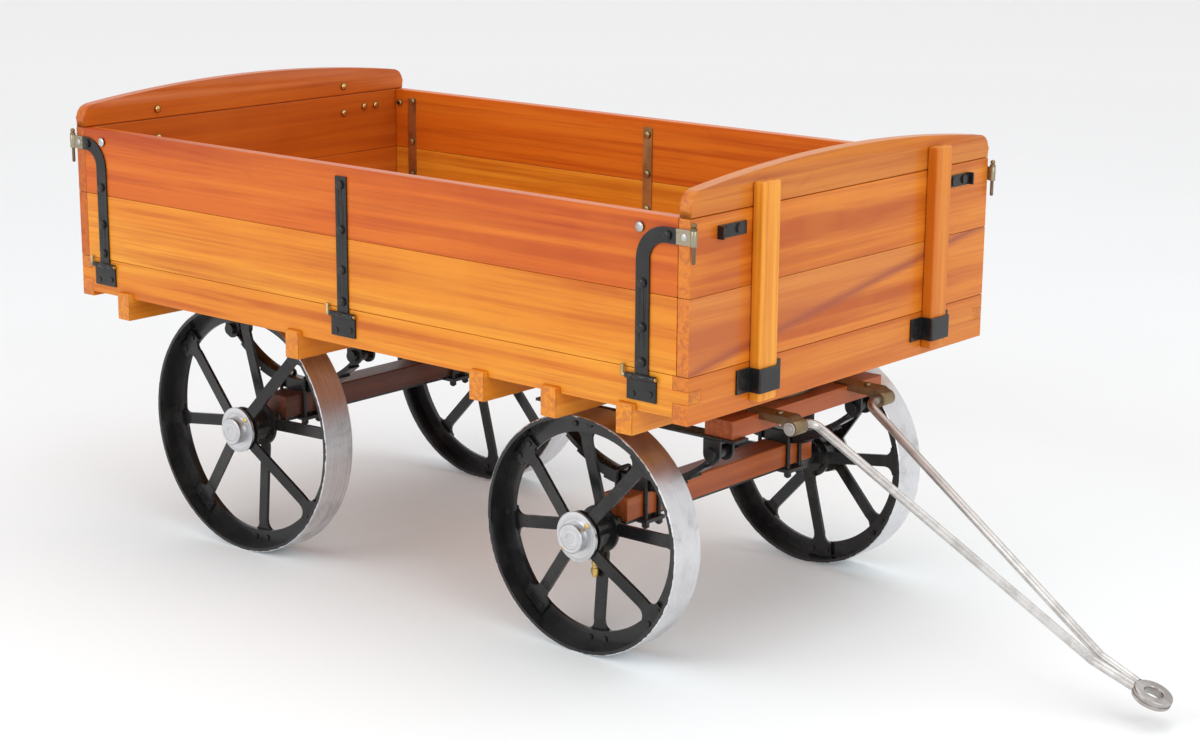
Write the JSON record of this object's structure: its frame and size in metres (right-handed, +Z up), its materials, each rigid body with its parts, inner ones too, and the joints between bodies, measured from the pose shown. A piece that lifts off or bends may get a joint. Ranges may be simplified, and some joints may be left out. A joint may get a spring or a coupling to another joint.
{
  "type": "drop-side garden cart",
  "caption": "Four-wheeled wooden garden cart with drop sides, lift-out arched end boards, spoked wheels on leaf springs, a steered front axle and a V drawbar with a tow eye.",
  "frame": {"origin": "on the floor, under the middle of the overall bounding box of the cart with its drawbar lowered", "axes": "+X points forward from the bed to the tow eye, +Y to the far side, +Z up"},
  "size_m": [1.7261, 0.7062, 0.6839],
  "materials": {
    "varnished_wood": "satin varnish over orange-brown boards",
    "red_wood": "satin varnish over redder timber",
    "dark_wood": "worn dark red-brown varnish",
    "black_iron": "semi-gloss black paint",
    "aluminium": "brushed and lightly worn",
    "brass": "dull aged brass",
    "steel": "bright drawn steel with brown patina"
  },
  "bodies": {
    "bed": {"side_sills": "varnished_wood", "end_sills": "varnished_wood", "floor_boards": "varnished_wood", "cross_bearers": "varnished_wood", "hinge_plates": "black_iron", "stake_sockets": "black_iron", "turntable_upper": "brass", "king_pin": "black_iron", "rear_hangers": "black_iron"},
    "near_side": {"near_side_boards": "varnished_wood", "near_side_straps": "black_iron", "near_side_brasses": "brass", "near_side_bolts": "black_iron"},
    "far_side": {"far_side_boards": "varnished_wood", "far_side_straps": "black_iron", "far_side_brasses": "brass", "far_side_bolts": "black_iron"},
    "near_front_latch": {"near_front_latch_pin": "brass"},
    "near_rear_latch": {"near_rear_latch_pin": "brass"},
    "far_front_latch": {"far_front_latch_pin": "brass"},
    "far_rear_latch": {"far_rear_latch_pin": "brass"},
    "front_board": {"front_planks": "varnished_wood", "front_stakes": "varnished_wood", "front_fittings": "black_iron"},
    "rear_board": {"rear_planks": "varnished_wood", "rear_stakes": "varnished_wood", "rear_fittings": "black_iron"},
    "fore_carriage": {"carriage_beams": "red_wood", "carriage_rails": "black_iron", "turntable_lower": "brass", "carriage_hangers": "black_iron", "drawbar_brackets": "brass"},
    "front_axle": {"front_axle_beam": "red_wood", "front_axle_irons": "black_iron", "front_leaf_springs": "black_iron", "front_stub_axles": "steel"},
    "rear_axle": {"rear_axle_beam": "dark_wood", "rear_axle_irons": "black_iron", "rear_leaf_springs": "black_iron", "rear_stub_axles": "steel"},
    "drawbar": {"drawbar_rods": "steel", "drawbar_eye": "steel", "drawbar_washers": "steel"},
    "front_near_wheel": {"front_near_rim": "aluminium", "front_near_spokes": "black_iron", "front_near_hub": "black_iron", "front_near_cap": "aluminium"},
    "front_far_wheel": {"front_far_rim": "aluminium", "front_far_spokes": "black_iron", "front_far_hub": "black_iron", "front_far_cap": "aluminium"},
    "rear_near_wheel": {"rear_near_rim": "aluminium", "rear_near_spokes": "black_iron", "rear_near_hub": "black_iron", "rear_near_cap": "aluminium"},
    "rear_far_wheel": {"rear_far_rim": "aluminium", "rear_far_spokes": "black_iron", "rear_far_hub": "black_iron", "rear_far_cap": "aluminium"}
  },
  "joints": [
    {"name": "near_side_drop", "type": "hinge", "parent": "bed", "child": "near_side", "pos_m": [-0.24211, -0.3489, 0.421], "axis": [1, 0, 0], "range_deg": [0, 170]},
    {"name": "far_side_drop", "type": "hinge", "parent": "bed", "child": "far_side", "pos_m": [-0.24211, 0.3489, 0.421], "axis": [-1, 0, 0], "range_deg": [0, 170]},
    {"name": "near_front_latch_lift", "type": "slide", "parent": "near_side", "child": "near_front_latch", "axis": [0, 0, 1], "range_m": [0, 0.03]},
    {"name": "near_rear_latch_lift", "type": "slide", "parent": "near_side", "child": "near_rear_latch", "axis": [0, 0, 1], "range_m": [0, 0.03]},
    {"name": "far_front_latch_lift", "type": "slide", "parent": "far_side", "child": "far_front_latch", "axis": [0, 0, 1], "range_m": [0, 0.03]},
    {"name": "far_rear_latch_lift", "type": "slide", "parent": "far_side", "child": "far_rear_latch", "axis": [0, 0, 1], "range_m": [0, 0.03]},
    {"name": "front_board_lift", "type": "slide", "parent": "bed", "child": "front_board", "axis": [0, 0, 1], "range_m": [0, 0.26]},
    {"name": "rear_board_lift", "type": "slide", "parent": "bed", "child": "rear_board", "axis": [0, 0, 1], "range_m": [0, 0.26]},
    {"name": "steering", "type": "hinge", "parent": "bed", "child": "fore_carriage", "pos_m": [0.13289, 0, 0.331], "axis": [0, 0, 1], "range_deg": [-35, 35]},
    {"name": "front_spring_travel", "type": "slide", "parent": "fore_carriage", "child": "front_axle", "axis": [0, 0, 1], "range_m": [0, 0.005], "stiffness_N_per_m": 60000, "springref_m": -0.006, "deforming": ["front_leaf_springs"]},
    {"name": "rear_spring_travel", "type": "slide", "parent": "bed", "child": "rear_axle", "axis": [0, 0, 1], "range_m": [0, 0.005], "stiffness_N_per_m": 60000, "springref_m": -0.006, "deforming": ["rear_leaf_springs"]},
    {"name": "front_near_wheel_spin", "type": "hinge", "parent": "front_axle", "child": "front_near_wheel", "pos_m": [0.13289, -0.2633, 0.166], "axis": [0, 1, 0], "continuous": true},
    {"name": "front_far_wheel_spin", "type": "hinge", "parent": "front_axle", "child": "front_far_wheel", "pos_m": [0.13289, 0.2633, 0.166], "axis": [0, 1, 0], "continuous": true},
    {"name": "rear_near_wheel_spin", "type": "hinge", "parent": "rear_axle", "child": "rear_near_wheel", "pos_m": [-0.54711, -0.2633, 0.191], "axis": [0, 1, 0], "continuous": true},
    {"name": "rear_far_wheel_spin", "type": "hinge", "parent": "rear_axle", "child": "rear_far_wheel", "pos_m": [-0.54711, 0.2633, 0.191], "axis": [0, 1, 0], "continuous": true},
    {"name": "drawbar_lift", "type": "hinge", "parent": "fore_carriage", "child": "drawbar", "pos_m": [0.35189, 0, 0.319], "axis": [0, -1, 0], "range_deg": [0, 52]}
  ]
}
